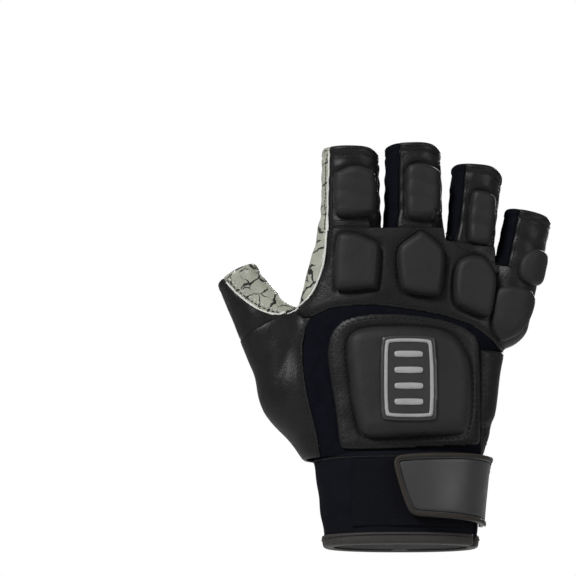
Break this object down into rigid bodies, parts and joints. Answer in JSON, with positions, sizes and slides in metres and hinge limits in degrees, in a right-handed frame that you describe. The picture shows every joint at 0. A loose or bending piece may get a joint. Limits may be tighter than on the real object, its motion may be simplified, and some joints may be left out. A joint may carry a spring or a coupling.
{
  "type": "half-finger padded lineman glove",
  "caption": "Right-hand half-finger sports glove with padded back, knuckles and stalls, a coated grip palm, a short thumb stall and a strap-closed cuff",
  "frame": {"origin": "centre of the cuff's hand opening, in the plane of the rim", "axes": "+Z runs from the cuff up to the fingers, +Y from the back of the hand to the palm, +X from the thumb side to the little-finger side"},
  "size_m": [0.152, 0.0612, 0.182],
  "materials": {
    "black_leather": "black synthetic leather with a fine grain, matt",
    "pad_leather": "soft black leather stretched over foam, with stitched edges",
    "palm_leather": "grey-green tacky coating with fine dark cracks, slightly glossy",
    "stretch_knit": "fine navy-black stretch knit",
    "foam": "soft grey foam",
    "cuff_neoprene": "dark blue-black neoprene faced with fine cloth",
    "hook_and_loop": "black hook and loop tape",
    "lining": "grey brushed tricot",
    "binding": "folded black-brown leather tape, stitched",
    "label": "plain smooth black patch",
    "emblem_plate": "grey moulded rubber plate with plain ribs"
  },
  "bodies": {
    "hand": {"palm_panel": "palm_leather", "fork_patch": "palm_leather", "thumb_base": "black_leather", "flex_gusset": "stretch_knit", "knuckle_panel": "black_leather", "edge_panel": "black_leather", "edge_foam": "foam", "back_panel": "black_leather", "back_pad_cover": "pad_leather", "back_pad_foam": "foam", "badge_plate": "emblem_plate", "index_knuckle_foam": "foam", "index_knuckle_cover": "pad_leather", "middle_knuckle_foam": "foam", "middle_knuckle_cover": "pad_leather", "ring_knuckle_foam": "foam", "ring_knuckle_cover": "pad_leather", "little_knuckle_foam": "foam", "little_knuckle_cover": "pad_leather", "palm_overlay": "palm_leather", "thenar_pad_foam": "foam", "thenar_pad_cover": "palm_leather", "heel_pad_foam": "foam", "heel_pad_cover": "palm_leather", "back_lining": "lining", "cuff_band": "cuff_neoprene", "cuff_lining": "lining", "cuff_binding": "binding", "loop_patch": "hook_and_loop", "label_patch": "label"},
    "closing_strap": {"strap": "cuff_neoprene", "hook_patch": "hook_and_loop"},
    "index_stall": {"index_back": "black_leather", "index_palm": "palm_leather", "index_wall_outer": "stretch_knit", "index_pad_foam": "foam", "index_pad_cover": "pad_leather"},
    "middle_stall": {"middle_back": "black_leather", "middle_palm": "palm_leather", "middle_wall_outer": "stretch_knit", "middle_wall_inner": "stretch_knit", "middle_pad_foam": "foam", "middle_pad_cover": "pad_leather"},
    "ring_stall": {"ring_back": "black_leather", "ring_palm": "palm_leather", "ring_wall_outer": "stretch_knit", "ring_wall_inner": "stretch_knit", "ring_pad_foam": "foam", "ring_pad_cover": "pad_leather"},
    "little_stall": {"little_back": "black_leather", "little_palm": "palm_leather", "little_wall_inner": "stretch_knit", "little_pad_foam": "foam", "little_pad_cover": "pad_leather"},
    "thumb_stall": {"thumb_back": "black_leather", "thumb_palm": "palm_leather"}
  },
  "joints": [
    {"name": "index_bend", "type": "hinge", "parent": "hand", "child": "index_stall", "pos_m": [-0.0225, 0.0128, 0.143], "axis": [-1, 0, 0], "range_deg": [0, 75], "stiffness_Nm_per_rad": 0.05},
    {"name": "middle_bend", "type": "hinge", "parent": "hand", "child": "middle_stall", "pos_m": [0.0055, 0.01305, 0.143], "axis": [-1, 0, 0], "range_deg": [0, 75], "stiffness_Nm_per_rad": 0.05},
    {"name": "ring_bend", "type": "hinge", "parent": "hand", "child": "ring_stall", "pos_m": [0.0308, 0.0123, 0.136], "axis": [-0.9945, 0, 0.1045], "range_deg": [0, 75], "stiffness_Nm_per_rad": 0.05},
    {"name": "little_bend", "type": "hinge", "parent": "hand", "child": "little_stall", "pos_m": [0.05174, 0.0111, 0.125], "axis": [-0.9781, 0, 0.2079], "range_deg": [0, 75], "stiffness_Nm_per_rad": 0.05},
    {"name": "thumb_bend", "type": "hinge", "parent": "hand", "child": "thumb_stall", "pos_m": [-0.06115, 0.0173, 0.1006], "axis": [-0.8829, 0, -0.4695], "range_deg": [0, 50], "stiffness_Nm_per_rad": 0.05},
    {"name": "strap_peel", "type": "hinge", "parent": "hand", "child": "closing_strap", "pos_m": [0.0386, 0.0042, 0.025], "axis": [0.1129, 0.012, 0.9935], "range_deg": [0, 110]}
  ]
}
